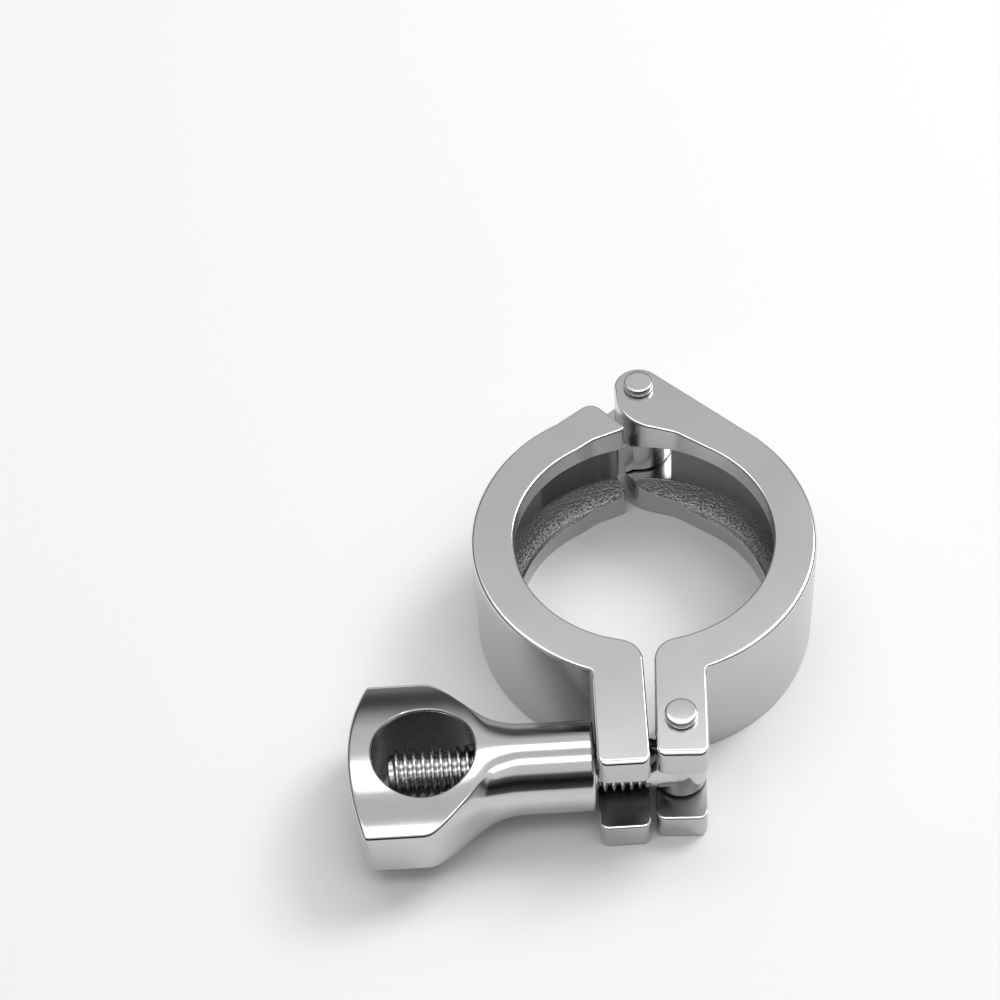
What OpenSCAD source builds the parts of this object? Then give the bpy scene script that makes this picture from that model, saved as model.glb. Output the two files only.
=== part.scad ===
// Sanitary clamp fitting: two hinged jaws, a swing bolt and a wing nut.
// All sizes are millimetres. The origin is the centre of the clamp bore at mid height.
// +Z is the bore axis, +Y points to the hinge, and the lugs and the bolt are on the -Y side.

/* [Ring] */
// Outside radius of the ring
ring_r = 30.5; // [29.5:0.25:33]
// Radius of the two lips that stand behind the ferrules
lip_r = 23; // [21:0.25:24]
// Radius of the groove floor, over the ferrule flanges
groove_r = 27.2; // [26:0.1:28]
// Height of the jaws along the bore
height = 24.5; // [22:0.5:28]
// Height of each lip land
land_h = 3.9; // [3:0.1:4.2]
// Height that each groove flank climbs
flank_h = 3.9; // [3:0.1:3.9]
// Width of the bevel on the outer edges of the ring
edge_break = 0.7; // [0.3:0.1:1]
// Width of the bevel on the lips
lip_break = 0.4; // [0.2:0.1:0.8]

/* [Hinge] */
// Distance from the bore axis to the hinge pin
hinge_y = 35; // [34:0.5:38]
// Radius of the ears round the hinge pin
ear_r = 4.5; // [4:0.1:5]
// Radius of the pocket in the right jaw that clears the tongue
pocket_r = 10.2; // [9:0.1:10.6]
// Radius of the tongue round the hinge pin
tongue_r = 6.2; // [5:0.1:7]
// Height of the tongue
tongue_h = 8.5; // [6:0.5:9]
// Gap above and below the tongue
tongue_gap = 0.35; // [0.3:0.05:0.6]
// Turn of the cut that ends the left jaw's outer layers
jaw_cut_turn = 37.8; // [34:0.2:40]
// Distance from the bore axis to that cut
jaw_cut_x = 12.9; // [12:0.1:13.5]

/* [Lugs] */
// Width of each lug across the gap
lug_w = 8.7; // [8:0.1:9.2]
// Half of the gap between the lugs at their roots
gap_half = 0.95; // [0.6:0.05:1.2]
// Distance from the bore axis to the front of the lugs
lug_front = 46.2; // [45.5:0.1:48]
// Distance from the bore axis to the lug roots
lug_root = 28; // [27:0.5:29]
// Lean of the left lug towards the gap, in degrees
left_lean = 2; // [0:0.1:2.2]
// Lean of the right lug towards the gap, in degrees
right_lean = 0.8; // [0:0.1:1]
// Height of the slot between the plates of a lug
slot_h = 12.6; // [11:0.1:13]
// Distance from the bore axis to the end wall of the slots
slot_end = 33.4; // [32.5:0.1:33.6]
// Rounding of the jaw's inner corner at the gap
corner_r = 4.5; // [3:0.1:5]
// Rounding of the front corners of the lugs
lug_round = 1.2; // [0.5:0.1:2]

/* [Pins] */
// Radius of the hinge pin and of the bolt pin
pin_r = 2.5; // [2:0.1:2.7]
// Radius of the pin heads
head_r = 2.75; // [2.75:0.05:3]
// Height of the pin heads
head_h = 1.5; // [0.6:0.1:1.8]
// Distance of the bolt pin to the right of the split
bolt_pin_x = 5; // [4.6:0.1:5.2]
// Distance from the bore axis to the bolt pin
bolt_pin_y = 38.8; // [38.6:0.1:39.2]
// Gap between a pin and the piece that turns on it
pin_fit = 0.05; // [0.02:0.01:0.1]
// How far the pin ends stop short of the lower face
pin_recess = 0.3; // [0.1:0.1:0.8]

/* [Bolt] */
// Radius of the bolt over its thread
thread_r = 4.75; // [4.2:0.05:4.8]
// Radius of the plain shank and of the eye
shank_r = 4.5; // [4:0.05:4.6]
// Height of the eye on its pin
eye_h = 9.5; // [8:0.1:10]
// Gap between the eye and the lower plate that it rests on
eye_gap = 0.35; // [0.3:0.05:1]
// Length of the plain shank from the pin
shank_l = 6.5; // [5.5:0.5:9]
// Length of the bolt from the pin to its tip
bolt_l = 49.5; // [47:0.5:50.5]

/* [Wing nut] */
// Radius of the barrel
barrel_r = 7.8; // [7.4:0.1:8.2]
// Gap between the nut and the left lug when closed
seat_gap = 0.4; // [0.3:0.05:1]
// Radius of the window through the head
window_r = 8.6; // [8:0.1:9]
// Gap between the tip of the bolt and the far side of the window
tip_gap = 2.4; // [1:0.1:4]
// Width of the rim between the window and the end of the head
rim_w = 4.1; // [3:0.1:6]
// Half of the width across the wings
wing_half = 15.5; // [14:0.1:17]
// Half of the thickness at the wing edges
wing_t = 4.9; // [3:0.1:5.5]
// Gap between the thread of the bolt and the thread of the nut
thread_fit = 0.05; // [0.02:0.01:0.1]

/* [Hidden] */
$fn = 96;
half_h = height / 2;
floor_z = half_h - land_h - flank_h;
tongue_t = tongue_h / 2;
pocket_t = tongue_t + tongue_gap;
slot_t = slot_h / 2;
lug_mid = gap_half + lug_w / 2;
lug_l = lug_front - lug_root;
press_r = pin_r - 0.01;
turn_r = pin_r + pin_fit;
// How far the cutting shapes reach past the part
far = 2 * ring_r;
// The outer edge of an ear is the line that touches both the ring and the ear's round end.
edge_turn = asin((ring_r - ear_r) / hinge_y);
edge_dir = [cos(edge_turn), sin(edge_turn)];
ring_touch = ring_r * edge_dir;
ear_touch = [0, hinge_y] + ear_r * edge_dir;
// The eye rests on the lower plate of its slot, so the whole bolt lies a little low.
bolt_z = eye_gap + eye_h / 2 - slot_t;
// The nut's face stands off the left lug, square to the bolt.
seat_u = (bolt_pin_x + gap_half + lug_w) * cos(left_lean)
    - (bolt_pin_y - lug_root) * sin(left_lean) + seat_gap;
// The bolt's tip shows in the window of the nut's head, so both follow the bolt's length.
window_u = bolt_l + tip_gap - window_r;
head_u = window_u + window_r + rim_w;

// Section of the bore and the groove: two lips and two slanting flanks.
module groove_cut() {
    rotate_extrude() polygon([
        [0, half_h + 1],
        [lip_r + lip_break + 1, half_h + 1],
        [lip_r, half_h - lip_break],
        [lip_r, half_h - land_h],
        [groove_r, floor_z],
        [groove_r, -floor_z],
        [lip_r, land_h - half_h],
        [lip_r, lip_break - half_h],
        [lip_r + lip_break + 1, -half_h - 1],
        [0, -half_h - 1]
    ]);
}

// Bevel along the outer edges of the ring, from one angle over a number of degrees.
module bevel_cut(start, sweep) {
    for (face = [0, 1])
        mirror([0, 0, face]) rotate([0, 0, start]) rotate_extrude(angle = sweep) polygon([
            [ring_r - edge_break - 1, half_h + 1],
            [ring_r + 1, half_h - edge_break - 1],
            [ring_r + 1, half_h + 1]
        ]);
}

// Half of the ring, seen from above: side is -1 for the left jaw and 1 for the right jaw.
module ring_plan(side) {
    difference() {
        circle(ring_r);
        circle(lip_r - 3);
        translate([side < 0 ? -gap_half : gap_half - far, -far]) square([far, far]);
        translate([side < 0 ? 0 : -far, -1]) square([far, far + 1]);
    }
}

// A lug, seen from above, with rounded front corners.
module lug_plan(side, lean) {
    translate([side * lug_mid, -lug_root]) rotate([0, 0, -side * lean]) {
        translate([-lug_w / 2, -lug_l + lug_round]) square([lug_w, lug_l - lug_round + 4]);
        translate([-lug_w / 2 + lug_round, -lug_l]) square([lug_w - 2 * lug_round, lug_l]);
        for (edge = [-1, 1])
            translate([edge * (lug_w / 2 - lug_round), -lug_l + lug_round]) circle(lug_round);
    }
}

// The slot between the two plates of a lug.
module slot_cut() {
    translate([-far, -2 * far, -slot_t]) cube([2 * far, 2 * far - slot_end, slot_h]);
}

// Rounds the corner between the lip and the gap.
module corner_cut(side) {
    mid_x = gap_half + corner_r;
    mid_y = sqrt(pow(lip_r + corner_r, 2) - mid_x * mid_x);
    touch = lip_r / (lip_r + corner_r) * [mid_x, mid_y];
    mirror([side < 0 ? 1 : 0, 0, 0])
        translate([0, 0, -half_h - 1]) linear_extrude(height + 2) difference() {
        polygon([
            [touch[0], -touch[1]],
            [gap_half, -mid_y],
            [-3, -mid_y],
            [-3, -lip_r / 2],
            [touch[0], -lip_r / 2]
        ]);
        translate([mid_x - 0.1, -mid_y + 0.1]) circle(corner_r);
    }
}

// Everything beyond the straight edge that runs from the ring to an ear.
module outside_edge() {
    rotate([0, 0, edge_turn]) translate([ring_r - 0.1, -far]) square([far, 2 * far]);
}

// Ears that carry the hinge pin, seen from above.
module ear_plan() {
    translate([0, hinge_y]) circle(ear_r);
    intersection() {
        translate([0.12 * hinge_y, hinge_y - 2]) circle(ear_r + 3.9);
        translate([-far, 0]) square([2 * far, hinge_y + 0.5]);
    }
    polygon([
        ear_touch,
        ring_touch,
        (lip_r - 2) * [cos(44), sin(44)],
        (lip_r - 2) * [cos(56), sin(56)],
        [3.4, hinge_y - 10.3]
    ]);
}

// Tongue of the left jaw, seen from above.
module tongue_plan() {
    difference() {
        union() {
            translate([0, hinge_y]) circle(ear_r);
            intersection() {
                translate([0, hinge_y]) circle(tongue_r);
                translate([-far, 0]) square([2 * far, hinge_y + 0.5]);
            }
            polygon([
                [-ear_touch[0], ear_touch[1]],
                [-ring_touch[0], ring_touch[1]],
                [-0.92 * ring_touch[0], 0.92 * ring_touch[1]],
                [-8, 25],
                [0, hinge_y - tongue_r + 1],
                [0, hinge_y]
            ]);
        }
        mirror([1, 0]) outside_edge();
        outside_edge();
    }
}

module left_jaw() {
    color([0.74, 0.74, 0.75]) difference() {
        union() {
            translate([0, 0, -half_h]) linear_extrude(height) {
                difference() {
                    ring_plan(-1);
                    rotate([0, 0, jaw_cut_turn]) translate([jaw_cut_x, 0]) square([far, far]);
                }
                lug_plan(-1, left_lean);
            }
            translate([0, 0, -tongue_t]) linear_extrude(tongue_h) tongue_plan();
        }
        groove_cut();
        bevel_cut(128, 118);
        slot_cut();
        corner_cut(-1);
        translate([0, hinge_y, -half_h]) cylinder(r = turn_r, h = height);
    }
}

module right_jaw() {
    color([0.72, 0.72, 0.73]) difference() {
        translate([0, 0, -half_h]) union() {
            linear_extrude(height) {
                difference() {
                    ring_plan(1);
                    rotate([0, 0, 52]) square([far, far]);
                }
                lug_plan(1, right_lean);
            }
            linear_extrude(height) difference() {
                ear_plan();
                outside_edge();
            }
        }
        groove_cut();
        bevel_cut(-66, 106);
        slot_cut();
        corner_cut(1);
        translate([0, hinge_y, -pocket_t]) cylinder(r = pocket_r, h = 2 * pocket_t);
        translate([0, hinge_y, -half_h - 1]) cylinder(r = press_r, h = height + 2);
        translate([bolt_pin_x, -bolt_pin_y, -half_h - 1]) cylinder(r = press_r, h = height + 2);
    }
}

// A riveted pin: a plain shaft with a low bevelled head on the upper face.
module pin() {
    translate([0, 0, pin_recess - half_h]) cylinder(r = pin_r, h = height - pin_recess);
    translate([0, 0, half_h]) cylinder(r = head_r, h = head_h * 0.65);
    translate([0, 0, half_h + head_h * 0.65])
        cylinder(r1 = head_r, r2 = head_r - 0.6, h = head_h * 0.35);
}

module hinge_pin() {
    color([0.66, 0.66, 0.67]) translate([0, hinge_y, 0]) pin();
}

module bolt_pin() {
    color([0.66, 0.66, 0.67]) translate([bolt_pin_x, -bolt_pin_y, 0]) pin();
}

// Puts a piece on the bolt's axis: its own +X runs from the pin towards the nut.
module on_bolt() {
    translate([bolt_pin_x, -bolt_pin_y, bolt_z]) rotate([0, 0, 180 + left_lean]) children();
}

// A round bar along the bolt, from one distance to another.
module bar(from, to, r1, r2) {
    translate([from, 0, 0]) rotate([0, 90, 0]) cylinder(r1 = r1, r2 = r2, h = to - from);
}

module eye_bolt() {
    color([0.68, 0.68, 0.69]) on_bolt() difference() {
        union() {
            translate([0, 0, -eye_h / 2]) cylinder(r = shank_r, h = eye_h);
            bar(0, shank_l + 0.5, shank_r, shank_r);
            bar(shank_l, bolt_l - 1, thread_r, thread_r);
            bar(bolt_l - 1, bolt_l, thread_r, thread_r - 0.9);
        }
        translate([0, 0, -eye_h]) cylinder(r = turn_r, h = 2 * eye_h);
    }
}

// Outline of the nut's head, seen from above, from the neck to the flat end.
module head_plan() {
    neck_u = window_u - window_r - 5;
    polygon([
        [neck_u, -barrel_r + 0.3],
        [neck_u + 4, -barrel_r - 0.7],
        [neck_u + 8, -barrel_r - 3.4],
        [neck_u + 12, -wing_half],
        [head_u - 5.2, -wing_half],
        [head_u - 0.8, -0.42 * wing_half],
        [head_u, -0.34 * wing_half],
        [head_u, 0.34 * wing_half],
        [head_u - 0.8, 0.42 * wing_half],
        [head_u - 5.2, wing_half],
        [neck_u + 12, wing_half],
        [neck_u + 8, barrel_r + 3.4],
        [neck_u + 4, barrel_r + 0.7],
        [neck_u, barrel_r - 0.3]
    ]);
}

// Section across the nut's head: a low crown over each wing.
module head_section() {
    fall = barrel_r - wing_t;
    crown = [
        [wing_t, wing_half],
        [barrel_r - 0.28 * fall, 0.56 * wing_half],
        [barrel_r, 0.2 * wing_half]
    ];
    for (edge = [0, 1]) mirror([0, edge]) polygon([
        [-wing_t, wing_half],
        crown[0],
        crown[1],
        crown[2],
        [barrel_r, -0.1],
        [-barrel_r, -0.1],
        [-crown[2][0], crown[2][1]],
        [-crown[1][0], crown[1][1]]
    ]);
}

module wing_nut() {
    color([0.76, 0.76, 0.77]) on_bolt() difference() {
        union() {
            bar(seat_u, seat_u + 0.6, barrel_r - 0.6, barrel_r);
            bar(seat_u + 0.6, window_u, barrel_r, barrel_r);
            intersection() {
                translate([0, 0, -far]) linear_extrude(2 * far) head_plan();
                rotate([0, 90, 0]) linear_extrude(head_u + 2) head_section();
            }
        }
        bar(seat_u - 1, window_u, thread_r + thread_fit, thread_r + thread_fit);
        translate([window_u, 0, -far]) cylinder(r = window_r, h = 2 * far);
    }
}

left_jaw();
right_jaw();
hinge_pin();
bolt_pin();
eye_bolt();
wing_nut();
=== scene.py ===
# %% [markdown]
# # A sanitary clamp fitting, dressed in Blender
#
# The clamp is two hinged steel jaws that close round a pair of tube ferrules. A swing bolt is pinned in the
# right lug, lies through the slot of the left lug and is drawn tight by a wing nut with a round window.
# The CAD model is the fixed frame: it says where everything is, and the pieces made here sit exactly there.

# %% Load the frame
import math

import bmesh
import bpy
from mathutils import Matrix, Vector


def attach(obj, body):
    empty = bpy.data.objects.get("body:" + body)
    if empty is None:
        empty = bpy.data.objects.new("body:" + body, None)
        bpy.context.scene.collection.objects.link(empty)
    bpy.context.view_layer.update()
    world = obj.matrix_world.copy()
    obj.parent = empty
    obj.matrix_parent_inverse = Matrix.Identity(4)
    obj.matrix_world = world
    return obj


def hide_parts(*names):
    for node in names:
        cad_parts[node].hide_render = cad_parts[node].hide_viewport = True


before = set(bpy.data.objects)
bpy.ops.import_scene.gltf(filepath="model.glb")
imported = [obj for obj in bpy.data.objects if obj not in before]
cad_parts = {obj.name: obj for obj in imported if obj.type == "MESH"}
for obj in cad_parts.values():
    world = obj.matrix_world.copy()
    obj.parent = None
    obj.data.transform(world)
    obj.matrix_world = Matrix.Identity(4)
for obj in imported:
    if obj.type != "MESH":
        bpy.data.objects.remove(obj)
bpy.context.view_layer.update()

MM = 0.001

# %% [markdown]
# ## Sizes that the pieces share
#
# These are the millimetres of the CAD source, with one exception: the lugs were measured again on the
# photograph, and their fronts reach a little further here. Heights are counted from the middle of the jaws.

# %% Sizes of the jaws and the pins
HALF_H = 12.25
RING_R, LIP_R, GROOVE_R = 30.5, 23.0, 27.2
LIP_Z, GROOVE_Z = 8.35, 4.45
FLANK_SLOPE = (LIP_Z - GROOVE_Z) / (GROOVE_R - LIP_R)
HINGE_Y, EAR_R = 35.0, 4.5
LUG_W, LUG_ROOT, GAP = 8.7, 28.0, 0.95
RIGHT_LEAN, LEFT_LEAN = 0.8, 2.0
LUG_FRONT, LEFT_LUG_FRONT = 46.5, 48.0
SLOT_T, SLOT_END = 6.3, 33.4
POCKET_R, POCKET_T, TONGUE_R, TONGUE_T = 10.2, 4.6, 6.2, 4.25
PIN_R, HEAD_R, HEAD_H, PIN_RECESS = 2.5, 2.75, 1.5, 0.3
PRESS_R, TURN_R = PIN_R - 0.01, PIN_R + 0.05

# %% [markdown]
# The bolt and the nut are modelled lying along +X, with the bolt's pin at the origin: u runs along the bolt
# and v across it. One matrix then turns them into place. That is easier than modelling on the slant, because
# every section is upright. The eye rests on the lower plate of its slot, so the bolt lies a little low.

# %% Sizes of the bolt and the nut
EYE_H, EYE_GAP, SHANK_R, SHANK_L = 9.5, 0.35, 4.5, 6.5
THREAD_R, BOLT_L, THREAD_GAP = 4.75, 49.5, 0.05
BARREL_R, SEAT_GAP, WINDOW_R, TIP_GAP, RIM_W = 7.8, 0.4, 8.6, 2.4, 4.1
WING_HALF, WING_T = 15.5, 4.9

LEAN = math.radians(LEFT_LEAN)
BOLT_PIN = Vector((5.0, -38.8, EYE_GAP + EYE_H / 2 - SLOT_T))
SEAT_U = (BOLT_PIN.x + GAP + LUG_W) * math.cos(LEAN) + (BOLT_PIN.y + LUG_ROOT) * math.sin(LEAN) + SEAT_GAP
WINDOW_U = BOLT_L + TIP_GAP - WINDOW_R
HEAD_U = WINDOW_U + WINDOW_R + RIM_W

to_bolt = Matrix.Translation(BOLT_PIN) @ Matrix.Rotation(math.pi + LEAN, 4, "Z")
to_bolt_in_metres = Matrix.Scale(MM, 4) @ to_bolt @ Matrix.Scale(1 / MM, 4)
along = to_bolt.to_3x3() @ Vector((1, 0, 0))
print("the bolt's axis leaves the pin along", tuple(round(c, 4) for c in along))
print("the nut's seat is at u =", round(SEAT_U, 3), "and its head ends at u =", round(HEAD_U, 3))


# %% [markdown]
# Every piece is modelled as a bmesh in millimetres, the unit of a workshop drawing. It is scaled once, when
# it becomes an object, so the object itself stays at the origin, unturned and unscaled, as the CAD's nodes
# do. NEAR is how close two places have to be to count as one.

# %% Turn a bmesh in millimetres into a piece in metres
NEAR = 1e-3


def make_piece(bm, name, place=Matrix.Identity(4)):
    bmesh.ops.transform(bm, matrix=Matrix.Scale(MM, 4) @ place, verts=bm.verts)
    mesh = bpy.data.meshes.new(name)
    bm.to_mesh(mesh)
    bm.free()
    piece = bpy.data.objects.new(name, mesh)
    bpy.context.scene.collection.objects.link(piece)
    mesh.polygons.foreach_set("use_smooth", [True] * len(mesh.polygons))
    return piece


def face_outwards(bm, gap=1e-4):
    """Merge doubles first, because the normals can only be told on a closed surface."""
    bmesh.ops.remove_doubles(bm, verts=bm.verts, dist=gap)
    bmesh.ops.recalc_face_normals(bm, faces=bm.faces)


def weigh_normals(piece):
    """Shade by the size of the faces, so that a flat stays flat beside its rounded edge."""
    even = piece.modifiers.new("even_shading", "WEIGHTED_NORMAL")
    even.keep_sharp = True


# %% [markdown]
# ## Joining and cutting solids
#
# Steel parts are drilled and milled, and a Boolean modifier does the same to a mesh. It could stay live, but
# then every cutting tool would have to be kept and hidden. So it is applied at once: the piece that is kept
# is the plain result, and the tool is thrown away.

# %% A helper that applies one Boolean
def combine(body, tool, operation):
    step = body.modifiers.new("combine", "BOOLEAN")
    step.operation = operation
    step.solver = "EXACT"
    step.object = tool
    bpy.context.view_layer.update()
    done = body.evaluated_get(bpy.context.evaluated_depsgraph_get())
    mesh = bpy.data.meshes.new_from_object(done)
    body.modifiers.remove(step)
    old = body.data
    body.data = mesh
    bpy.data.meshes.remove(old)
    bpy.data.objects.remove(tool)


# %% [markdown]
# ## A profile turned on a lathe
#
# Pins, eyes and bores are turned parts. Blender's own cylinder has no rounded edges, so a turned part starts
# as half a profile instead, a short chain of points with their radius and height. A full spin with its seam
# merged gives the round solid, roundings and all.

# %% Spin a half profile round Z
def turned(profile, steps=64):
    bm = bmesh.new()
    chain = [bm.verts.new((r, 0, z)) for r, z in profile]
    edges = [bm.edges.new(pair) for pair in zip(chain, chain[1:])]
    bmesh.ops.spin(bm, geom=chain + edges, axis=(0, 0, 1), cent=(0, 0, 0), angle=math.tau,
                   steps=steps, use_merge=True)
    face_outwards(bm)
    return bm


def angles(start, stop, count):
    """Evenly spread angles from start to stop: degrees go in, radians come out."""
    return [math.radians(start + (stop - start) * i / count) for i in range(count + 1)]


def arc(radius, height, size, start, stop, count=4):
    """Points of a small rounding about (radius, height), from one angle to another in degrees."""
    return [(radius + size * math.cos(t), height + size * math.sin(t)) for t in angles(start, stop, count)]


# %% [markdown]
# ## The two jaws
#
# Each jaw is one casting: half a ring with a groove inside, a slotted lug in front and an ear or a tongue at
# the hinge. It could be joined from a ring, a block and a cylinder, but then the hollows between them would
# have to be filled. From above a jaw is one closed outline, so it starts as that outline, extruded to the
# full height. The outline is a list of corners, each with its own rounding, because that is how it is drawn.

# %% Draw an outline with rounded corners
def on_circle(x, y, radius, start, stop, step):
    """Corners on an arc, about one for each step of degrees, without rounding of their own."""
    count = max(1, round(abs(stop - start) / step))
    return [(x + radius * math.cos(t), y + radius * math.sin(t), 0) for t in angles(start, stop, count)]


def rounded(corners, steps=6):
    """The outline's points, with each corner that has a radius replaced by a small arc."""
    points = []
    for i, (x, y, radius) in enumerate(corners):
        here = Vector((x, y))
        if not radius:
            points.append(here)
            continue
        back = (Vector(corners[i - 1][:2]) - here).normalized()
        ahead = (Vector(corners[(i + 1) % len(corners)][:2]) - here).normalized()
        half = back.angle(ahead) / 2
        centre = here + (back + ahead).normalized() * radius / math.sin(half)
        first = here + back * radius / math.tan(half) - centre
        sweep = math.pi - 2 * half
        if first.x * (ahead.y - back.y) - first.y * (ahead.x - back.x) < 0:
            sweep = -sweep
        points += [centre + Matrix.Rotation(sweep * k / steps, 2) @ first for k in range(steps + 1)]
    return points


def extruded(points, half_height):
    bm = bmesh.new()
    base = bm.faces.new([bm.verts.new((point.x, point.y, -half_height)) for point in points])
    raised = bmesh.ops.extrude_face_region(bm, geom=[base])
    bmesh.ops.translate(bm, verts=[v for v in raised["geom"] if isinstance(v, bmesh.types.BMVert)],
                        vec=(0, 0, 2 * half_height))
    bmesh.ops.recalc_face_normals(bm, faces=bm.faces)
    return bm


# %% The lug and the mouth, which both jaws have
LUG_CORNER, ROOT_CORNER, MOUTH_R = 1.5, 0.9, 4.5
RING_STEP, EAR_STEP, LIP_STEP, MOUTH_STEP, ROOT_STEP = 2.5, 12, 3, 13, 3
LUG_MID = GAP + LUG_W / 2
LUG_SIDE = GAP + LUG_W
MOUTH_X = GAP + MOUTH_R
MOUTH_Y = -math.sqrt((LIP_R + MOUTH_R) ** 2 - MOUTH_X ** 2)
MOUTH_TURN = math.degrees(math.atan2(MOUTH_Y, MOUTH_X))
LIP_END = MOUTH_TURN + LIP_STEP
RING_START = -90 + math.degrees(math.asin(LUG_SIDE / RING_R)) + ROOT_STEP


def lug_corners(lean, front):
    """The gap corner and the outer corner of a right-hand lug that leans towards the gap."""
    tilt = Matrix.Rotation(math.radians(-lean), 2)
    middle = Vector((LUG_MID, -LUG_ROOT))
    return [middle + tilt @ Vector((side * LUG_W / 2, LUG_ROOT - front)) for side in (-1, 1)]


def lug_and_mouth(lean, front):
    """From the end of the lip, round the mouth and the lug, to the root of the lug on the ring."""
    inner, outer = lug_corners(lean, front)
    mouth = on_circle(MOUTH_X, MOUTH_Y, MOUTH_R, MOUTH_TURN + 180, 180, MOUTH_STEP)
    root = (LUG_SIDE, -math.sqrt(RING_R ** 2 - LUG_SIDE ** 2))
    return mouth + [(*inner, LUG_CORNER), (*outer, LUG_CORNER), (*root, ROOT_CORNER)]


# %% [markdown]
# The outer edge of the right jaw's ear is the line that touches both the ring and the ear's round end. The
# left jaw is drawn as a right-hand one and then mirrored, so that both can use the same lug. Corners are
# given as x, y and rounding, and round hollows as x, y and radius. Angles are in degrees from +X.

# %% The outlines of the jaws
EDGE_TURN = math.degrees(math.asin((RING_R - EAR_R) / HINGE_Y))
EAR_HOLLOW, HOLLOW_STEP = (4.2, 33.0, 8.4), 8
EAR_FOOT, EAR_LIP_START = (6.4, 23.5, 5.0), 58
LEFT_TIP, LEFT_STEP, LEFT_FOOT, LEFT_LIP_START = (8.75, 31.7, 2.4), (2.3, 24.9, 0.8), (8.6, 22.2, 6.0), 60
TONGUE_NOSE, TONGUE_HEEL = (4.6, 36.6, 1.0), (-4.0, 27.6, 3.0)
TONGUE_ROOTS = ((-17.0, 17.0, 0), (-19.9, 22.1, 0))

right_outline = lug_and_mouth(RIGHT_LEAN, LUG_FRONT)
right_outline += on_circle(0, 0, RING_R, RING_START, EDGE_TURN, RING_STEP)
right_outline += on_circle(0, HINGE_Y, EAR_R, EDGE_TURN, 172, EAR_STEP)
right_outline += on_circle(*EAR_HOLLOW, 178, 258, HOLLOW_STEP) + [EAR_FOOT]
right_outline += on_circle(0, 0, LIP_R, EAR_LIP_START, LIP_END, LIP_STEP)

left_outline = lug_and_mouth(LEFT_LEAN, LEFT_LUG_FRONT)
left_outline += on_circle(0, 0, RING_R, RING_START, LEFT_LIP_START, RING_STEP)
left_outline += [LEFT_TIP, LEFT_STEP, LEFT_FOOT]
left_outline += on_circle(0, 0, LIP_R, LEFT_LIP_START, LIP_END, LIP_STEP)
left_outline = [(-x, y, radius) for x, y, radius in left_outline]

tongue_outline = on_circle(0, HINGE_Y, EAR_R, 180 - EDGE_TURN, EDGE_TURN, EAR_STEP) + [TONGUE_NOSE]
tongue_outline += on_circle(0, HINGE_Y, TONGUE_R, -2, -100, 10) + [TONGUE_HEEL, *TONGUE_ROOTS]
for name, outline in (("right", right_outline), ("left", left_outline), ("tongue", tongue_outline)):
    print(name, "outline:", len(rounded(outline)), "points")

# %% Tools that cut the groove, the slot, the holes and the hinge pocket
GROOVE_REACH = 2.6
THROUGH = 20.0
SLOT_DEPTH, SLOT_WIDTH = 40.0, 60.0


def groove_tool():
    """Two slanting flanks, drawn on past the lip so that no face of the tool lies on a face of the jaw."""
    inner = LIP_R - GROOVE_REACH
    high = LIP_Z + GROOVE_REACH * FLANK_SLOPE
    profile = [(inner, high), (GROOVE_R, GROOVE_Z), (GROOVE_R, -GROOVE_Z), (inner, -high), (inner, high)]
    return make_piece(turned(profile, steps=144), "groove")


def plug_tool(radius, half_height, x, y):
    profile = [(0, -half_height), (radius, -half_height), (radius, half_height), (0, half_height)]
    return make_piece(turned(profile, steps=72), "plug", Matrix.Translation((x, y, 0)))


def slot_tool():
    bm = bmesh.new()
    bmesh.ops.create_cube(bm, size=1, matrix=Matrix.Translation((0, -SLOT_END - SLOT_DEPTH / 2, 0))
                          @ Matrix.Diagonal((SLOT_WIDTH, SLOT_DEPTH, 2 * SLOT_T, 1)))
    return make_piece(bm, "slot")


# %% [markdown]
# Sharp edges look wrong on polished steel, because it is the rounded edges that catch the light. One bevel
# width for all edges would be simpler, but the real ones differ: broad on the front of the lugs, where a
# belt sander touched them, and fine elsewhere. So each edge is given its own rounding as a weight, and one
# Bevel modifier reads the weights. Where two edges run on into each other their widths must be nearly the
# same, or the bevel folds over, so the widths change gradually along the ring and round the lugs' corners.

# %% How far each edge is rounded, in millimetres
FRONT_ROUND, PLATE_ROUND, RING_ROUND, SIDE_ROUND, FINE_ROUND = 1.15, 0.65, 0.8, 0.4, 0.2
WIDEST = 1.2
NOSE_L = 1.5
RING_FROM, RING_TO, RING_FADE = -70, EDGE_TURN - 2, 22


def graded(low, high, part):
    return low + (high - low) * part


def at_nose(place, lug_front):
    """Whether a place is on the foremost stretch of a lug."""
    return place.y < NOSE_L - lug_front


def pin_distance(place):
    return min((place.xy - Vector((0, HINGE_Y))).length, (place.xy - BOLT_PIN.xy).length)


def rounding(edge, lug_front):
    """The width for one edge, told from where it lies and which way it runs."""
    middle = (edge.verts[0].co + edge.verts[1].co) / 2
    along = edge.verts[1].co - edge.verts[0].co
    if abs(along.z) > NEAR:
        return FINE_ROUND
    if pin_distance(middle) < PIN_R + 0.2:
        return FINE_ROUND if middle.z < NEAR - HALF_H else 0.0
    crosswise = math.atan2(abs(along.x), abs(along.y)) / (math.pi / 2)
    front = crosswise if at_nose(middle, lug_front) else 0.0
    if abs(abs(middle.z) - SLOT_T) < NEAR:
        return graded(FINE_ROUND, PLATE_ROUND, front)
    if abs(abs(middle.z) - HALF_H) > NEAR:
        return FINE_ROUND
    if middle.y < -RING_R:
        return graded(SIDE_ROUND, FRONT_ROUND, front)
    if abs(middle.xy.length - RING_R) > 0.1:
        return SIDE_ROUND
    turn = math.degrees(math.atan2(middle.y, abs(middle.x)))
    rise = min(turn - RING_FROM, RING_TO - turn) / RING_FADE
    return graded(SIDE_ROUND, RING_ROUND, min(1.0, max(0.0, rise)))


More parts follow.
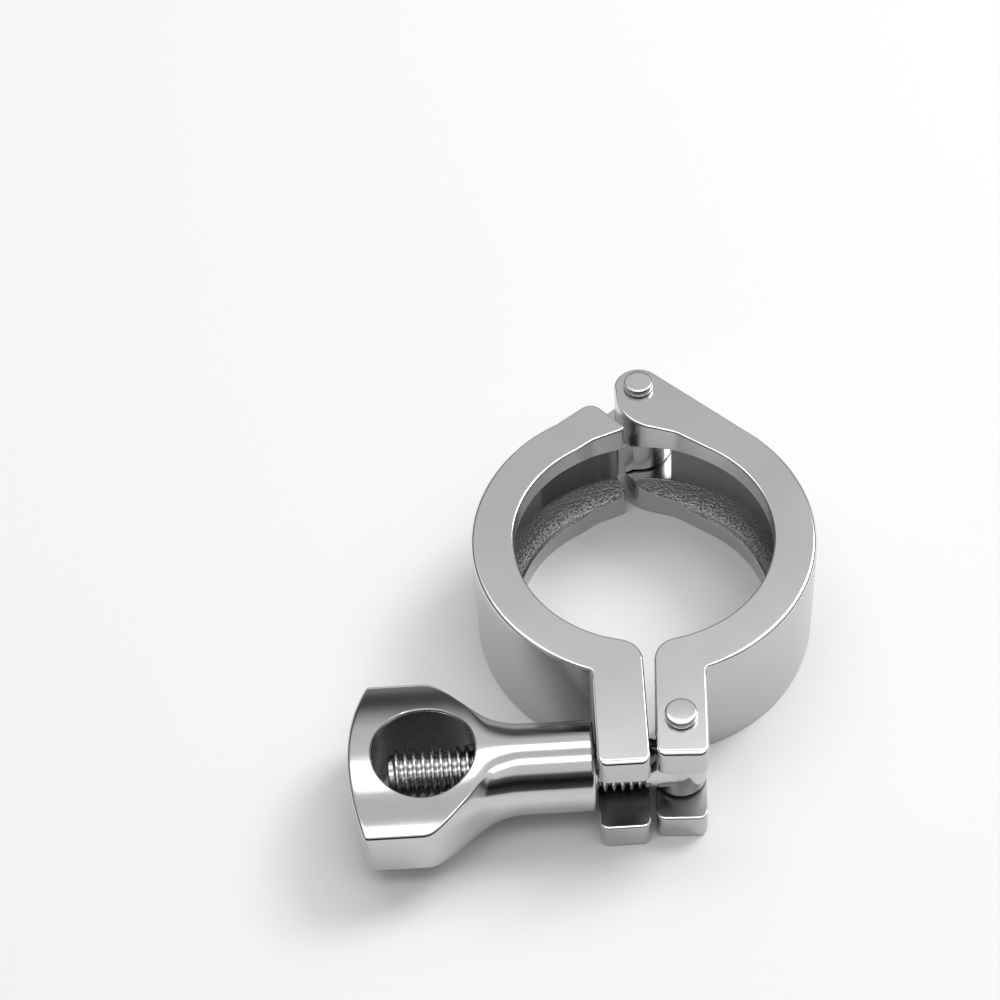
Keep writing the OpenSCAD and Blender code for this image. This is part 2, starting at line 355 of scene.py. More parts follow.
# %% [markdown]
# A Boolean leaves long thin bridges from a hole to the outline, and a bevel that crosses one of them on the
# slant gets a visible fold. So the flats are cut once through the middle of each hole, in a direction that
# meets the outline squarely, and only those cuts are kept when the other bridges are dissolved.

# %% Round the edges of a jaw
LOW_REACH = 0.9
WELD = 0.02
SHARP = math.radians(24)
LEVEL = math.radians(0.5)


def split_flats(bm, place, turn):
    """Cut through a hole along one line, and return the cut's edges on the flat faces."""
    across = Vector((-math.sin(turn), math.cos(turn), 0))
    bmesh.ops.bisect_plane(bm, geom=bm.verts[:] + bm.edges[:] + bm.faces[:], dist=1e-4,
                           plane_co=place, plane_no=across)
    return [e for e in bm.edges if all(abs((v.co - place).dot(across)) < NEAR for v in e.verts)
            and all(abs(f.normal.z) > 0.99 for f in e.link_faces)]


def clear_bridges(bm, holes):
    """Dissolve the edges between level faces, apart from the cuts through the holes."""
    cuts = [e for place, turn in holes for e in split_flats(bm, place, turn)]
    kept = {e for e in cuts if e.is_valid}
    loose = [e for e in bm.edges if e not in kept]
    bmesh.ops.dissolve_limit(bm, angle_limit=LEVEL, verts=bm.verts, edges=loose)


def round_edges(piece, lug_front, holes=()):
    bm = bmesh.new()
    bm.from_mesh(piece.data)
    bmesh.ops.transform(bm, matrix=Matrix.Scale(1 / MM, 4), verts=bm.verts)
    bmesh.ops.remove_doubles(bm, verts=bm.verts, dist=WELD)
    bm.normal_update()
    clear_bridges(bm, holes)
    low_front = [v for v in bm.verts if v.co.z < 0 and at_nose(v.co, lug_front)]
    bmesh.ops.translate(bm, verts=low_front, vec=(0, -LOW_REACH, 0))
    weights = bm.edges.layers.float.new("bevel_weight_edge")
    sharp = [e for e in bm.edges if len(e.link_faces) == 2 and e.calc_face_angle(0) > SHARP]
    for edge in sharp:
        edge[weights] = rounding(edge, lug_front) / WIDEST
        edge.smooth = edge[weights] > 0
    print(piece.name, "has", len(bm.faces), "faces and", len(sharp), "edges to round,",
          sum(not e.is_manifold for e in bm.edges), "open")
    bmesh.ops.transform(bm, matrix=Matrix.Scale(MM, 4), verts=bm.verts)
    bm.to_mesh(piece.data)
    bm.free()
    piece.data.polygons.foreach_set("use_smooth", [True] * len(piece.data.polygons))
    soften = piece.modifiers.new("round_edges", "BEVEL")
    soften.limit_method = "WEIGHT"
    soften.width = WIDEST * MM
    soften.segments = 4
    soften.profile = 0.5
    soften.use_clamp_overlap = False
    weigh_normals(piece)


# %% Make the jaws
right_jaw = make_piece(extruded(rounded(right_outline), HALF_H), "right_jaw_steel")
combine(right_jaw, plug_tool(PRESS_R, THROUGH, 0, HINGE_Y), "DIFFERENCE")
combine(right_jaw, plug_tool(PRESS_R, THROUGH, BOLT_PIN.x, BOLT_PIN.y), "DIFFERENCE")
combine(right_jaw, groove_tool(), "DIFFERENCE")
combine(right_jaw, slot_tool(), "DIFFERENCE")
combine(right_jaw, plug_tool(POCKET_R, POCKET_T, 0, HINGE_Y), "DIFFERENCE")

left_jaw = make_piece(extruded(rounded(left_outline), HALF_H), "left_jaw_steel")
combine(left_jaw, groove_tool(), "DIFFERENCE")
combine(left_jaw, slot_tool(), "DIFFERENCE")

left_tongue = make_piece(extruded(rounded(tongue_outline), TONGUE_T), "left_tongue_steel")
combine(left_tongue, groove_tool(), "DIFFERENCE")
combine(left_tongue, plug_tool(TURN_R, THROUGH, 0, HINGE_Y), "DIFFERENCE")

hinge_hole = (Vector((0, HINGE_Y, 0)), math.radians(5 * round(EDGE_TURN / 5)))
bolt_hole = (Vector((BOLT_PIN.x, BOLT_PIN.y, 0)), 0)
round_edges(left_jaw, LEFT_LUG_FRONT)
round_edges(left_tongue, LUG_FRONT, [hinge_hole])
round_edges(right_jaw, LUG_FRONT, [hinge_hole, bolt_hole])
for piece, body in ((left_jaw, "left_jaw"), (left_tongue, "left_jaw"), (right_jaw, "right_jaw")):
    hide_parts(body)
    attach(piece, body)

# %% [markdown]
# ## The riveted pins
#
# Both joints are plain pins whose upper end was pressed into a low head. The head is a flat disc with a
# rolled edge and a slightly sunk foot, which is why a thin dark line runs round it on the real clamp. Pin and
# head could be two cylinders, but turned from one profile they show no seam. HEAD_TOP gives the head's face
# as radius and depth below its top, HEAD_FOOT its underside as distance in from the rim and height.

# %% Turn the two pins
ROLL_R = 0.40
HEAD_TOP = ((0, 0.04), (1.0, 0.02), (1.9, 0.06))
HEAD_FOOT = ((0, 0.45), (0.02, 0.16), (0.14, 0.02))
END_CHAMFER = 0.4


def make_pin(name, x, y):
    top, foot, low = HALF_H + HEAD_H, HALF_H, PIN_RECESS - HALF_H
    profile = [(radius, top - depth) for radius, depth in HEAD_TOP]
    profile += arc(HEAD_R - ROLL_R - 0.02, top - ROLL_R - 0.06, ROLL_R, 80, 0, 6)
    profile += [(HEAD_R - distance, foot + height) for distance, height in HEAD_FOOT]
    profile += [(PRESS_R, foot + 0.01), (PRESS_R, low + END_CHAMFER), (PIN_R - END_CHAMFER, low), (0, low)]
    return make_piece(turned(profile), name, Matrix.Translation((x, y, 0)))


hinge_rivet = make_pin("hinge_rivet", 0, HINGE_Y)
bolt_rivet = make_pin("bolt_rivet", BOLT_PIN.x, BOLT_PIN.y)
for piece, node in ((hinge_rivet, "hinge_pin"), (bolt_rivet, "bolt_pin")):
    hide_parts(node)
    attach(piece, "right_jaw")
    print(piece.name, "has", len(piece.data.polygons), "faces")

# %% [markdown]
# ## The swing bolt
#
# The thread shows in the nut's window and between the lugs, where a stack of rings or a bump map would give
# itself away, so it is a real helix. One line of the thread's saw-tooth profile is spun once round the axis
# while it moves along by one pitch. The last line then lies on the first, one tooth further, so merging the
# doubles closes the screw. TOOTH gives the profile as share of the pitch and radius.

# %% Spin the thread
PITCH = 1.5
ROOT_R, CREST_R = 3.7, THREAD_R - 0.05
THREAD_STEPS = 48
THREAD_START = SHANK_L - 0.3
TIP_CHAMFER, TIP_SLOPE, TIP_LEAST = 1.1, 0.9, 0.5
FADE_R, FADE_SLOPE = SHANK_R - 0.25, 0.4
TOOTH = ((0.0, ROOT_R), (0.34, ROOT_R), (0.62, CREST_R), (0.67, THREAD_R), (0.78, THREAD_R), (0.83, CREST_R))


def allowed_radius(u):
    """The thread fades in at the neck and the tip is chamfered."""
    start = FADE_R + (u - SHANK_L) * FADE_SLOPE
    tip = CREST_R - max(0.0, u - (BOLT_L - TIP_CHAMFER)) * TIP_SLOPE
    return max(TIP_LEAST, min(THREAD_R, start, tip))


def cut_off(bm, at, keep):
    """Cut the thread square at a place and close the end; keep is the side that stays."""
    geom = bm.verts[:] + bm.edges[:] + bm.faces[:]
    bmesh.ops.bisect_plane(bm, geom=geom, dist=1e-5, plane_co=(at, 0, 0), plane_no=(-keep, 0, 0),
                           clear_outer=True)
    rim = [e for e in bm.edges if e.is_boundary and all(abs(v.co.x - at) < NEAR for v in e.verts)]
    bmesh.ops.edgeloop_fill(bm, edges=rim)


def make_thread():
    bm = bmesh.new()
    teeth = int((BOLT_L - SHANK_L) / PITCH) + 4
    starts = [SHANK_L + (tooth - 2) * PITCH for tooth in range(teeth)]
    chain = [bm.verts.new((u + part * PITCH, 0, radius)) for u in starts for part, radius in TOOTH]
    edges = [bm.edges.new(pair) for pair in zip(chain, chain[1:])]
    bmesh.ops.spin(bm, geom=chain + edges, axis=(1, 0, 0), cent=(0, 0, 0), angle=math.tau,
                   dvec=(PITCH / THREAD_STEPS, 0, 0), steps=THREAD_STEPS)
    bmesh.ops.remove_doubles(bm, verts=bm.verts, dist=NEAR)
    cut_off(bm, THREAD_START, 1)
    cut_off(bm, BOLT_L, -1)
    for vert in bm.verts:
        radius = math.hypot(vert.co.y, vert.co.z)
        limit = allowed_radius(vert.co.x)
        if radius > limit:
            vert.co.y *= limit / radius
            vert.co.z *= limit / radius
    bmesh.ops.recalc_face_normals(bm, faces=bm.faces)
    print("thread:", len(bm.faces), "faces,", sum(e.is_boundary for e in bm.edges), "open edges")
    return bm


# %% Join the thread, the neck and the eye
EYE_ROUND, NECK_ROUND = 0.5, 0.4
NECK_R, NECK_END = SHANK_R - 0.06, SHANK_L - 0.1
eye_profile = [(0, EYE_H / 2)] + arc(SHANK_R - EYE_ROUND, EYE_H / 2 - EYE_ROUND, EYE_ROUND, 90, 0)
eye_profile += arc(SHANK_R - EYE_ROUND, EYE_ROUND - EYE_H / 2, EYE_ROUND, 0, -90) + [(0, -EYE_H / 2)]
neck_profile = [(0, -0.5), (NECK_R, -0.5)]
neck_profile += arc(NECK_R - NECK_ROUND, NECK_END - NECK_ROUND, NECK_ROUND, 0, 90) + [(0, NECK_END)]
hole_profile = [(0, -EYE_H), (TURN_R, -EYE_H), (TURN_R, EYE_H), (0, EYE_H)]

lay_down = Matrix.Rotation(math.radians(90), 4, "Y")
swing_bolt = make_piece(turned(eye_profile), "swing_bolt")
combine(swing_bolt, make_piece(turned(neck_profile), "neck", lay_down), "UNION")
combine(swing_bolt, make_piece(make_thread(), "thread"), "UNION")
combine(swing_bolt, make_piece(turned(hole_profile, steps=48), "hole"), "DIFFERENCE")
swing_bolt.data.transform(to_bolt_in_metres)
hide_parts("eye_bolt")
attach(swing_bolt, "eye_bolt")
print("swing bolt:", len(swing_bolt.data.polygons), "faces")

# %% [markdown]
# ## The wing nut
#
# The nut is a forging that was polished by hand. Its barrel is round, and it flares without a break into a
# flat head with a low crown. A block with a subdivision modifier would flow as softly but lose the crisp
# crease between the crown and the sides. A loft keeps it: the cross section is drawn many times along the
# axis, each time from a circle whose points are moved, and the loops are bridged. Three curves steer the
# loft: how far out the crease lies, how high it lies, and how wide the middle of the side is.

# %% The three curves along the nut, as places along the axis and distances from it
WING_V = WING_HALF - 0.1
CREASE_V = ((14, 2.0), (28, 2.0), (31, 3.2), (33, 5.0), (35.4, 8.5), (39.7, 13.2), (42.4, WING_V),
            (HEAD_U, WING_V))
CREASE_Z = ((14, 7.54), (28, 7.54), (31, 7.35), (33, 7.1), (35.4, 6.85), (39.7, 5.8), (42.4, WING_T),
            (HEAD_U, WING_T))
MIDDLE_V = ((14, 7.8), (28, 7.8), (31.2, 8.5), (33, 9.2), (35.4, 10.8), (38.5, 13.3), (41.2, 15.1),
            (42.4, WING_V), (HEAD_U, WING_V))
BLEND_START, BLEND_END = 29.5, 35.0
FLARE_REACH, HEAD_REACH, HEAD_START = 1.6, 0.9, 45


def follow(curve, u):
    """A chain of straight lines, read at u."""
    for (u0, a), (u1, b) in zip(curve, curve[1:]):
        if u <= u1:
            return a + (b - a) * max(0.0, u - u0) / (u1 - u0)
    return curve[-1][1]


def smooth(curve, u):
    """The same chain with its corners rounded, as the mean over a short reach, taken twice."""
    steps = (-1, -0.66, -0.33, 0, 0.33, 0.66, 1)
    reach = min(FLARE_REACH if u < HEAD_START else HEAD_REACH, max(0.0, HEAD_U - u))
    return sum(follow(curve, u + reach * (a + b) / 2) for a in steps for b in steps) / len(steps) ** 2


def squareness(u):
    """0 where the nut is a round barrel, 1 where it has the upright sides of the head."""
    part = min(1.0, max(0.0, (u - BLEND_START) / (BLEND_END - BLEND_START)))
    return part * part * (3 - 2 * part)


# %% One cross section of the nut
AROUND = 192
QUARTER = AROUND // 4
CROWN_STEPS = 28
CREASE_TURN = math.radians(75)


def crown_fall(part, crease_z, square):
    """How far the crown lies below the barrel's top, part of the way from its middle to its crease."""
    return (BARREL_R - crease_z) * part ** (2 + 0.2 * square)


def quarter_point(index, crease_v, crease_z, middle_v, square):
    """Point number index of a quarter section: 0 is the top, QUARTER the middle of the side."""
    if index <= CROWN_STEPS:
        part = index / CROWN_STEPS
        return crease_v * part, BARREL_R - crown_fall(part, crease_z, square)
    down = (index - CROWN_STEPS) / (QUARTER - CROWN_STEPS)
    turn = CREASE_TURN * (1 - down)
    round_out = (math.cos(turn) - math.cos(CREASE_TURN)) / (1 - math.cos(CREASE_TURN))
    round_low = math.sin(turn) / math.sin(CREASE_TURN)
    out = graded(round_out, 1 - (1 - down) ** 3, square)
    low = graded(round_low, 1 - down, square)
    return crease_v + (middle_v - crease_v) * out, crease_z * low


def section_point(index, u):
    """The point of the whole section at a place round the loop, counted from the top."""
    quarter, rest = divmod(index, QUARTER)
    if quarter % 2:
        rest = QUARTER - rest
    v, z = quarter_point(rest, smooth(CREASE_V, u), smooth(CREASE_Z, u), smooth(MIDDLE_V, u), squareness(u))
    return v * (1 if quarter < 2 else -1), z * (1 if quarter in (0, 3) else -1)


# %% [markdown]
# The nut's two ends are rounded by the loft itself. Near an end each section is drawn in a little, by as much
# as a quarter circle falls away there, and the last sections shrink to a line, which closes the head. The end
# of the head is also bowed: the further out a point lies, the further it moves back towards the barrel. The
# sections stand close where the shape turns and far apart along the plain barrel.

# %% The ends of the nut
SEAT_ROUND, END_ROUND, CORNER_ROUND, LOW_ROUND = 0.7, 0.6, 1.1, 2.2
CORNER_REACH, CROWN_REACH = 8, 3
BOW_R, BOW_START = 45.0, 44.0
BARREL_START, BARREL_STEP, FLARE_START, FLARE_STEP, LAST_GAP = SEAT_U + 1.6, 1.2, 27, 0.28, 0.15
CLOSING = (0.8, 0.6, 0.4, 0.2, 0.0)
CLOSED_WIDTH = 0.96


def inset(distance, size):
    """How far a rounding of this size draws a surface in, at a distance from the end."""
    return size - math.sqrt(size ** 2 - max(0.0, size - distance) ** 2)


def drawn_in(value, amount, reach):
    """Move a coordinate towards the axis, and less so when it is nearer to the axis than reach."""
    return value - math.copysign(amount * min(1.0, abs(value) / reach), value)


def nut_stations():
    """Places along the axis, and how much of the height is left: the last loops close the end."""
    turns = angles(0, 90, 8)
    front = [SEAT_U + SEAT_ROUND * (1 - math.sin(t)) for t in reversed(turns)]
    back = [HEAD_U - LOW_ROUND * (1 - math.sin(t)) for t in turns]
    middle = [BARREL_START]
    while middle[-1] < HEAD_U - LOW_ROUND - LAST_GAP:
        middle.append(middle[-1] + (BARREL_STEP if middle[-1] < FLARE_START else FLARE_STEP))
    return [(u, 1.0) for u in front + middle[:-1] + back] + [(HEAD_U, part) for part in CLOSING]


def nut_point(index, u, part):
    v, z = section_point(index, u)
    seat = 1 - inset(u - SEAT_U, SEAT_ROUND) / BARREL_R
    v = drawn_in(v * seat, inset(HEAD_U - u, CORNER_ROUND), CORNER_REACH) * graded(CLOSED_WIDTH, 1.0, part)
    z = drawn_in(z * seat, inset(HEAD_U - u, END_ROUND if z > 0 else LOW_ROUND), CROWN_REACH) * part
    bow = (max(0.0, u - BOW_START) / (HEAD_U - BOW_START)) ** 2
    return u - bow * v * v / (2 * BOW_R), v, z


# %% Loft the nut
def make_nut_body():
    bm = bmesh.new()
    loops = []
    for u, part in nut_stations():
        ring = bmesh.ops.create_circle(bm, segments=AROUND, radius=1, cap_ends=False)["verts"]
        for index, vert in enumerate(ring):
            vert.co = nut_point(index, u, part)
        loops.append(ring)
    for ring, following in zip(loops, loops[1:]):
        near = set(ring + following)
        edges = [e for v in ring + following for e in v.link_edges if e.other_vert(v) in near]
        bmesh.ops.bridge_loops(bm, edges=list(dict.fromkeys(edges)))
    bmesh.ops.contextual_create(bm, geom=loops[0])
    face_outwards(bm, NEAR)
    print("nut loft:", len(loops), "sections,", len(bm.faces), "faces,",
          sum(e.is_boundary for e in bm.edges), "open edges")
    return bm


nut = make_piece(make_nut_body(), "wing_nut_steel")

# %% [markdown]
# The window is a milled hole with a softened rim. A bevel after the cut would meet hundreds of short edges of
# the loft and fold them over. So the rim's rounding is part of the cutting tool: a plug turned with a flared
# collar, whose points are then moved down by what the crown falls there. The bore is drilled first.

# %% Cut the bore and the window
RIM_ROUND = 0.6
RIM_FLARE = 58
OVER = 2.0
BORE_R, BORE_CHAMFER = THREAD_R + THREAD_GAP, 1.6


def window_tool():
    upper = arc(WINDOW_R + RIM_ROUND, BARREL_R - RIM_ROUND, RIM_ROUND, 180, 180 - RIM_FLARE, 5)
    wide = upper[-1][0] + 0.5
    upper += [(wide, upper[-1][1] + 0.4), (wide, BARREL_R + OVER)]
    profile = [(0, BARREL_R + OVER)] + upper[::-1] + [(r, -z) for r, z in upper] + [(0, -BARREL_R - OVER)]
    bm = turned(profile, steps=128)
    for vert in bm.verts:
        if vert.co.xy.length > 1:
            u, v = WINDOW_U + vert.co.x, vert.co.y
            fall = crown_fall(abs(v) / smooth(CREASE_V, u), smooth(CREASE_Z, u), squareness(u))
            vert.co.z -= math.copysign(fall, vert.co.z)
    return bm


def crisp_rims(piece, middle, reach):
    """Keep the window's rims crisp, and weigh the normals everywhere else by the size of the faces."""
    bm = bmesh.new()
    bm.from_mesh(piece.data)
    for edge in bm.edges:
        near = all((vert.co.xy / MM - middle).length < reach for vert in edge.verts)
        if near and edge.calc_face_angle(0) > SHARP:
            edge.smooth = False
    bm.to_mesh(piece.data)
    bm.free()
    weigh_normals(piece)


bore_profile = [(0, SEAT_U - 1), (BORE_R + BORE_CHAMFER, SEAT_U - 1), (BORE_R, SEAT_U + BORE_CHAMFER - 1),
                (BORE_R, WINDOW_U), (0, WINDOW_U)]
combine(nut, make_piece(turned(bore_profile), "bore", lay_down), "DIFFERENCE")
combine(nut, make_piece(window_tool(), "window", Matrix.Translation((WINDOW_U, 0, 0))), "DIFFERENCE")
nut.data.transform(to_bolt_in_metres)
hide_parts("wing_nut")
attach(nut, "wing_nut")

WINDOW_MID = to_bolt @ Vector((WINDOW_U, 0, 0))
crisp_rims(nut, WINDOW_MID.xy, WINDOW_R + 2 * RIM_ROUND)
print("nut:", len(nut.data.polygons), "faces")

# %% [markdown]
# ## Shader maths as Python
#
# A material is a small formula about a point on the surface. Laying out its nodes one by one hides the
# formula, so this class wraps a node's output: plain operators then add the Math nodes, and the formula can
# be read. Two of its methods, over and under, make soft-edged masks, which say where a finish begins or ends.

# %% A socket that can be added and multiplied
class Value:
    def __init__(self, paint, socket):
        self.paint, self.socket = paint, socket

    def maths(self, operation, other=None, flip=False):
        first, second = (other, self) if flip else (self, other)
        inputs = [first] if other is None else [first, second]
        return self.paint.node("ShaderNodeMath", {"operation": operation}, dict(enumerate(inputs)))

    def __add__(self, other):
        return self.maths("ADD", other)

    def __sub__(self, other):
        return self.maths("SUBTRACT", other)

    def __rsub__(self, other):
        return self.maths("SUBTRACT", other, flip=True)

    def __mul__(self, other):
        return self.maths("MULTIPLY", other)

    def __truediv__(self, other):
        return self.maths("DIVIDE", other)

    __radd__ = __add__
    __rmul__ = __mul__

    def size(self):
        return self.maths("ABSOLUTE")

    def root(self):
        return self.maths("SQRT")

    def either(self, other):
        return self.maths("MAXIMUM", other)

    def clamp(self):
        return self.maths("MINIMUM", 1.0).maths("MAXIMUM", 0.0)

    def over(self, start, width):
        """0 up to start, rising to 1 over the width that follows."""
        return ((self - start) / width).clamp()

    def under(self, stop, width):
        """0 from stop on, and 1 further below it than the width."""
        return ((stop - self) / width).clamp()


# %% A material or a room, and the nodes that are added to it
class Paint:
    def __init__(self, owner, surface="Principled BSDF", space="Object"):
        owner.use_nodes = True
        self.owner, self.tree = owner, owner.node_tree
        self.surface = self.tree.nodes[surface]
        self.place = self.coordinates(space)

    def node(self, kind, settings, inputs, output=0):
        made = self.tree.nodes.new(kind)
        for key, value in settings.items():
            if key == "stops":
                self.set_stops(made.color_ramp.elements, value)
            else:
                setattr(made, key, value)
        for key, value in inputs.items():
            self.connect(made.inputs[key], value)
        return Value(self, made.outputs[output])

    def set_stops(self, elements, stops):
        while len(elements) < len(stops):
            elements.new(0.5)
        for element, (position, colour) in zip(elements, stops):
            element.position, element.color = position, colour

    def connect(self, socket, value):
        if isinstance(value, Value):
            self.tree.links.new(value.socket, socket)
        else:
            socket.default_value = value

    def coordinates(self, kind):
        return self.node("ShaderNodeTexCoord", {}, {}, kind)

    def axes(self, vector):
        split = self.node("ShaderNodeSeparateXYZ", {}, {"Vector": vector}, "X")
        return [Value(self, split.socket.node.outputs[axis]) for axis in "XYZ"]

    def millimetres(self):
        return [axis / MM for axis in self.axes(self.place)]

    def noise(self, scale, detail, stretch=(1, 1, 1)):
        where = self.node("ShaderNodeMapping", {}, {"Vector": self.place, "Scale": stretch}, "Vector")
        return self.node("ShaderNodeTexNoise", {}, {"Vector": where, "Scale": scale, "Detail": detail})

    def mix(self, factor, first, second):
        """The Mix node's colours are its sockets 6 and 7, and its mixed colour is its output 2."""
        return self.node("ShaderNodeMix", {"data_type": "RGBA"}, {"Factor": factor, 6: first, 7: second}, 2)

    def bump(self, height, strength, distance):
        inputs = {"Height": height, "Strength": strength, "Distance": distance}
        return self.node("ShaderNodeBump", {}, inputs, "Normal")

    def finish(self, **sockets):
        for name, value in sockets.items():
            self.connect(self.surface.inputs[name.replace("_", " ")], value)
        return self.owner


def grey(level):
    return (level, level, level, 1)


def steel(level):
    """The grey of steel, which is a trace bluer."""
    return (level, level, level + 0.005, 1)


# %% [markdown]
# ## Satin steel for the jaws
#
# The jaws are cast, tumbled and buffed. Seen closely the finish has a fine grain and faint cloudy patches
# where the buff ran longer. Inside the groove, where no wheel reaches, the skin of the casting is still
# there, dark and pebbled, and only its high spots near the lip have been worn bright. The slot between the
# plates is painted dark, as painted shade, and is rougher. The rounded edges on the outside and at the lip
# are painted near white, as a painted highlight, and are a little smoother. Masks could be painted by hand,
# but here the place alone tells them: the groove from its radius and flanks, the slot from its height, and
# the rounded edges from the way they face.

# %% Satin steel
def satin_steel():
    paint = Paint(bpy.data.materials.new("buffed_steel"))
    x, y, z = paint.millimetres()
    level = z.size()
    radius = (x * x + y * y).root()
    clouds = paint.noise(60.0, 3.0)
    grain = paint.noise(1400.0, 2.0)
    casting = paint.noise(2800.0, 1.0)

    flank = LIP_Z - (radius - LIP_R) * FLANK_SLOPE
    in_groove = radius.over(LIP_R + 0.05, 0.6) * radius.under(GROOVE_R + 0.7, 0.6)
    in_groove = in_groove * level.under(flank + 0.1, 0.06)
    # Painted shade: the slot between the plates, found by its height, is darkened below.
    slot_shade = level.under(SLOT_T + 0.04, 0.03) * y.under(0.2 - SLOT_END, 0.2)
    worn = radius.under(GROOVE_R - 0.6, 3.2)
    flecks = in_groove * worn * (casting + worn * 0.3).over(0.64, 0.08)

    # Painted highlight: the rounded edges that face partly upwards, on the outside and at the lip, are
    # painted near white.
    upward = paint.axes(paint.coordinates("Normal"))[2].size()
    on_outside = level.over(HALF_H - 1.25, 0.1).either(y.under(1.0 - LUG_FRONT, 0.2))
    at_lip = radius.under(LIP_R + 0.4, 0.1) * level.over(LIP_Z - 0.55, 0.1)
    edge_highlight = upward.under(0.985, 0.02) * upward.over(0.35, 0.2) * on_outside.either(at_lip)

    colour = paint.mix(clouds, steel(0.50), steel(0.55))
    # Painted shade in the slot between the plates.
    colour = paint.mix(slot_shade * 0.7, colour, steel(0.10))
    colour = paint.mix(in_groove * 0.8, colour, steel(0.15))
    colour = paint.mix(flecks, colour, steel(0.75))
    # Painted highlight on the rounded edges.
    colour = paint.mix(edge_highlight, colour, grey(0.97))
    roughness = 0.15 + clouds * 0.07 + grain * 0.03 + (in_groove + slot_shade) * 0.12 - edge_highlight * 0.06
    height = grain * 0.05 + in_groove * casting
    return paint.finish(Base_Color=colour, Metallic=1.0, Roughness=roughness,
                        Normal=paint.bump(height, 0.4, 0.0002))


# %% [markdown]
# ## Bright steel for the nut, the bolt and the pins
#
# These are polished until they mirror the room. A flat mirror finish would do from afar, but it looks like
# liquid. What keeps the real ones from it is that the polish is not even: shallow waves bend the reflections,
# and hairlines run the way the wheel went. The inner wall of the nut's window is painted darker, as painted
# shade in the hole, and it is a little rougher.

# %% Bright steel
def bright_steel(name, wave, gloss, window_shade_level=0.0):
    paint = Paint(bpy.data.materials.new(name))
    waves = paint.noise(90.0, 2.0)
    hairs = paint.noise(700.0, 2.0, stretch=(0.12, 1, 1))
    specks = paint.noise(2600.0, 1.0)
    colour = paint.mix(waves, steel(0.56), steel(0.62))
    if window_shade_level:
        # Painted shade: the inner wall of the window is darkened.
        x, y, z = paint.millimetres()
        from_x, from_y, from_z = x - WINDOW_MID.x, y - WINDOW_MID.y, z - WINDOW_MID.z
        radius = (from_x * from_x + from_y * from_y).root()
        window_shade = radius.under(WINDOW_R + 0.04, 0.03) * from_z.size().under(BARREL_R - 0.9, 0.3)
        colour = paint.mix(window_shade * window_shade_level, colour, steel(0.12))
        gloss = gloss + window_shade * 0.15
    roughness = gloss + hairs * 0.05 + specks * 0.03
    height = waves * wave + hairs * 0.05
    return paint.finish(Base_Color=colour, Metallic=1.0, Roughness=roughness,
                        Normal=paint.bump(height, 0.2, 0.0004))


# %% Give every piece its finish
satin = satin_steel()
nut_steel = bright_steel("polished_steel", wave=0.5, gloss=0.09, window_shade_level=0.7)
bolt_steel = bright_steel("turned_steel", wave=0.1, gloss=0.09)
pin_steel = bright_steel("riveted_steel", wave=1.0, gloss=0.10)
for material, pieces in ((satin, (left_jaw, left_tongue, right_jaw)), (nut_steel, (nut,)),
                         (bolt_steel, (swing_bolt,)), (pin_steel, (hinge_rivet, bolt_rivet))):
    for piece in pieces:
        piece.data.materials.clear()
        piece.data.materials.append(material)
        print(piece.name, "is finished in", material.name)

# %% [markdown]
# ## Floor and soft boxes
#
# Polished steel shows little but what it mirrors, so the light is built for its reflections. Bare lamps would
# give small hard spots. Soft boxes give broad bands instead: one high in front and one high behind make the
# two white bands along the nut's barrel, and a third from the right lights the floor and the jaws. The floor
# lies just below the clamp, because two surfaces in one plane would flicker into each other.

# %% Floor
FLOOR_HALF, FLOOR_GAP = 6000, 0.02


def make_floor():
    bm = bmesh.new()
    bmesh.ops.create_grid(bm, x_segments=2, y_segments=2, size=FLOOR_HALF)
    floor = make_piece(bm, "floor", Matrix.Translation((0, 0, -HALF_H - FLOOR_GAP)))
    paint = Paint(bpy.data.materials.new("pale_floor"))
    colour = paint.mix(paint.noise(8.0, 2.0), grey(0.86), grey(0.88))
    floor.data.materials.append(paint.finish(Base_Color=colour, Roughness=0.9))
    return floor


floor = make_floor()
print("the floor lies at", round(floor.data.vertices[0].co.z / MM, 2), "mm")


# %% Soft boxes
def soft_box(name, azimuth, elevation, distance, width, height, power):
    a, e = math.radians(azimuth), math.radians(elevation)
    away = Vector((math.cos(a) * math.cos(e), math.sin(a) * math.cos(e), math.sin(e)))
    light = bpy.data.lights.new(name, "AREA")
    light.shape = "RECTANGLE"
    light.size, light.size_y, light.energy = width, height, power
    lamp = bpy.data.objects.new(name, light)
    lamp.location = away * distance
    lamp.rotation_euler = away.to_track_quat("Z", "Y").to_euler()
    bpy.context.scene.collection.objects.link(lamp)
    print(name, "shines from", [round(c, 2) for c in lamp.location], "m")


soft_box("front_box", azimuth=-90, elevation=74, distance=1.2, width=1.2, height=0.27, power=2.3)
soft_box("rear_box", azimuth=90, elevation=70, distance=1.2, width=1.2, height=0.36, power=2.7)
soft_box("key_box", azimuth=35, elevation=48, distance=1.3, width=0.5, height=0.5, power=7.0)

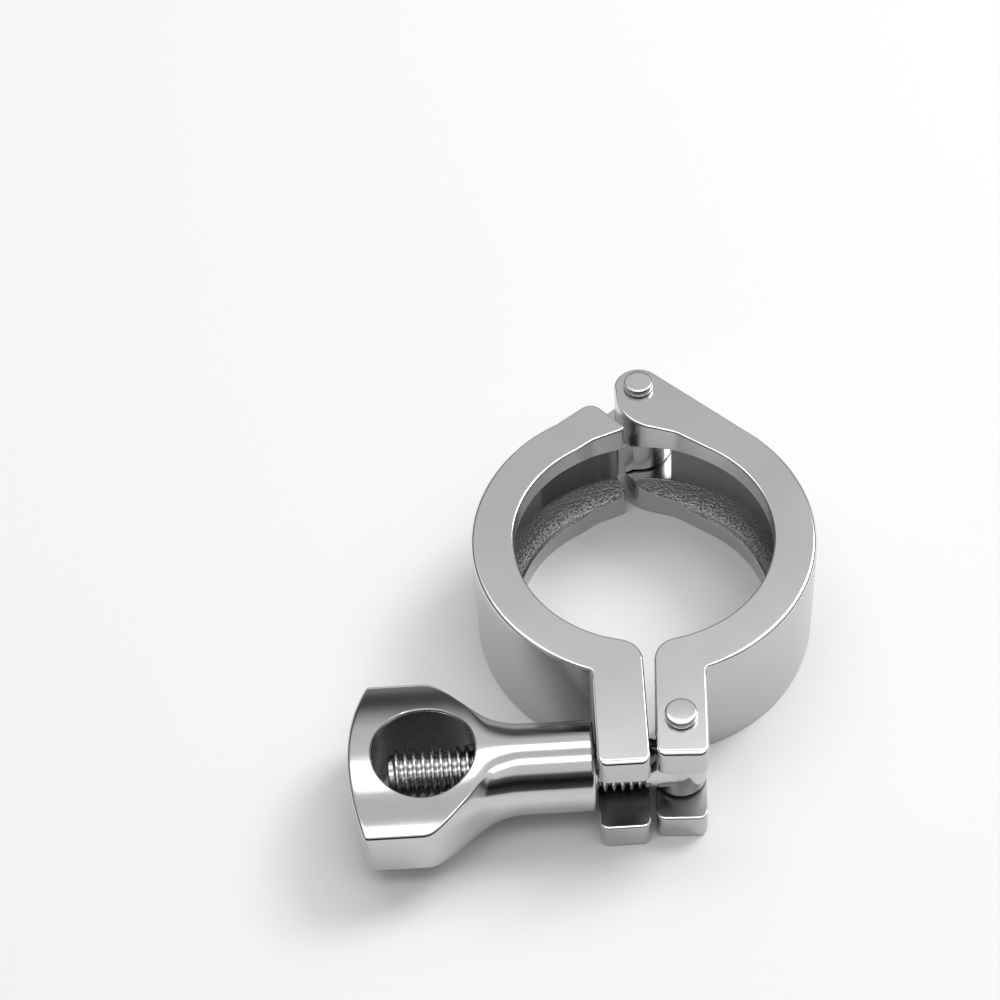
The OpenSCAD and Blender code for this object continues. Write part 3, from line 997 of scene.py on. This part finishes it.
# %% [markdown]
# The room is the rest of what the steel mirrors. A photograph of a studio could surround the clamp, but a
# formula on the direction does as well here: the room goes from pale at the horizon over a dark belt, which
# draws the dark lines on the barrel, to a bright ceiling. A dark patch low in front stands for the unlit end
# of the studio, and darkens the sides that face the camera.

# %% The room, by direction
ROOM_STOPS = ((0.0, 0.45), (0.2, 0.32), (0.33, 0.09), (0.45, 0.09), (0.56, 0.42), (0.68, 0.84), (0.86, 0.90),
              (1.0, 0.78))

world = bpy.data.worlds.new("room")
bpy.context.scene.world = world
room = Paint(world, "Background", "Generated")
x, y, z = room.axes(room.place)
belts = [(height, grey(level)) for height, level in ROOM_STOPS]
sky = room.node("ShaderNodeValToRGB", {"stops": belts}, {"Fac": z})
in_front = (y + x.size() * 0.5).under(-0.1, 0.1) * z.under(0.71, 0.04) * z.over(-0.02, 0.04)
bright = (0.9 + x * 0.25) * (1 - in_front * 0.85)
room.finish(Color=room.mix(bright, grey(0), sky), Strength=1.0)
print("the room has", len(ROOM_STOPS), "belts and a dark patch in front")

# %% [markdown]
# ## Camera
#
# The camera stands about 42 cm away, in front and above. The photograph shows the clamp below and to the
# right of its middle. Turning the camera away from the clamp would change the perspective, so the lens is
# shifted instead, as on a camera for buildings.

# %% Camera
CAMERA_PLACE = Vector((-5.914, -256.507, 332.624)) * MM
CAMERA_TURN = (36.582, 0.40554, -1.67206)
CAMERA_SHIFT = (-0.14, 0.12)
LENS_PIXELS, PICTURE_PIXELS, SENSOR = 2331.94, 1000, 36

camera_data = bpy.data.cameras.new("camera")
camera_data.sensor_width = SENSOR
camera_data.lens = SENSOR * LENS_PIXELS / PICTURE_PIXELS
camera_data.shift_x, camera_data.shift_y = CAMERA_SHIFT
camera = bpy.data.objects.new("camera", camera_data)
camera.location = CAMERA_PLACE
camera.rotation_euler = [math.radians(turn) for turn in CAMERA_TURN]
bpy.context.scene.collection.objects.link(camera)
bpy.context.scene.camera = camera
bpy.context.scene.view_settings.view_transform = "Standard"
print("the camera is", round(CAMERA_PLACE.length, 3), "m from the clamp's middle")
